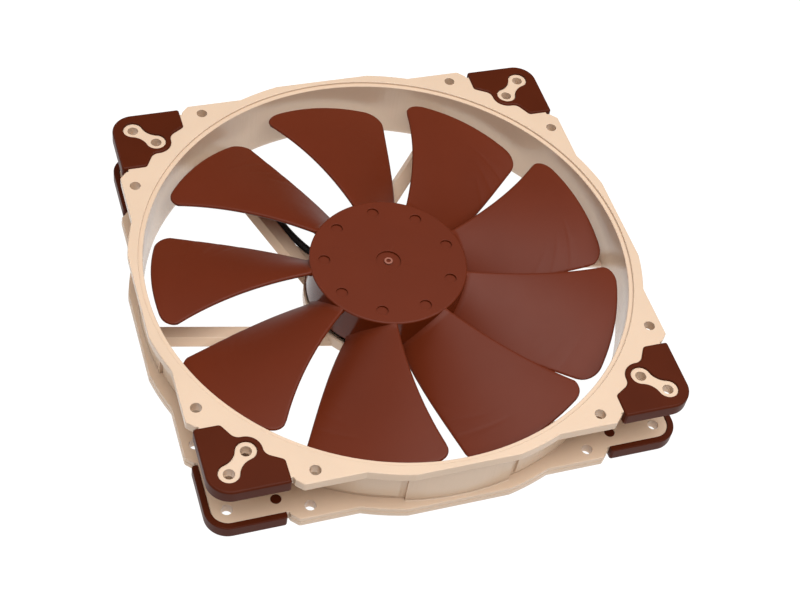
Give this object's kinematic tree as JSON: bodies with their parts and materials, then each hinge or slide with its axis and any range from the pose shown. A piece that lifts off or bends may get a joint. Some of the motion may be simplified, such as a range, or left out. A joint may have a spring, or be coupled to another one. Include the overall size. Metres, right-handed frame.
{
  "type": "case fan",
  "caption": "Square axial case fan with a swept-blade impeller on an outer-rotor motor, strutted exhaust side, rubber corner pads and a sleeved plug lead.",
  "frame": {"origin": "on the rotor axis, in the plane of the exhaust-side pad faces", "axes": "+Z along the rotor axis from exhaust to intake, +X and +Y square to the frame sides, the lead leaves over the +Y side"},
  "size_m": [0.2, 0.2176, 0.03],
  "materials": {
    "frame_plastic": "fine satin moulding",
    "pad_rubber": "matte silicone rubber",
    "impeller_plastic": "satin moulding",
    "rotor_steel": "dark satin",
    "magnet_ferrite": "matte dark grey",
    "brass": "turned",
    "bronze": "sintered, oiled",
    "shaft_steel": "ground",
    "white_plastic": "natural nylon",
    "core_steel": "laminated",
    "copper_wire": "enamelled",
    "tinned_metal": "bright tin",
    "board_green": "solder mask",
    "black_plastic": "satin moulding",
    "capacitor_ceramic": "ceramic",
    "disc_plastic": "smooth film",
    "lead_black": "braided sleeve",
    "rubber_black": "soft black"
  },
  "bodies": {
    "housing": {"frame": "frame_plastic", "intake_pad_rear_left": "pad_rubber", "intake_pad_rear_right": "pad_rubber", "intake_pad_front_left": "pad_rubber", "intake_pad_front_right": "pad_rubber", "exhaust_pad_rear_left": "pad_rubber", "exhaust_pad_rear_right": "pad_rubber", "exhaust_pad_front_left": "pad_rubber", "exhaust_pad_front_right": "pad_rubber", "bearing_shell": "brass", "bearing_sleeve": "bronze", "oil_retainer": "white_plastic", "retaining_clip": "white_plastic", "thrust_plate": "magnet_ferrite", "thrust_magnet": "shaft_steel", "stator_core": "core_steel", "top_insulator": "white_plastic", "bottom_insulator": "white_plastic", "stator_windings": "copper_wire", "winding_posts": "tinned_metal", "circuit_board": "board_green", "driver_chip": "black_plastic", "hall_sensor": "black_plastic", "board_capacitors": "capacitor_ceramic", "rear_disc": "disc_plastic", "lead": "lead_black", "lead_grommet": "rubber_black", "board_wires": "lead_black", "lead_end_sleeve": "rubber_black", "plug_wires": "lead_black", "plug_housing": "black_plastic", "plug_contacts": "tinned_metal"},
    "rotor": {"impeller": "impeller_plastic", "rotor_yoke": "rotor_steel", "ring_magnet": "magnet_ferrite", "hub_insert": "brass", "shaft": "shaft_steel"}
  },
  "joints": [
    {"name": "impeller_spin", "type": "hinge", "parent": "housing", "child": "rotor", "pos_m": [0, 0, 0.015], "axis": [0, 0, 1], "continuous": true}
  ]
}
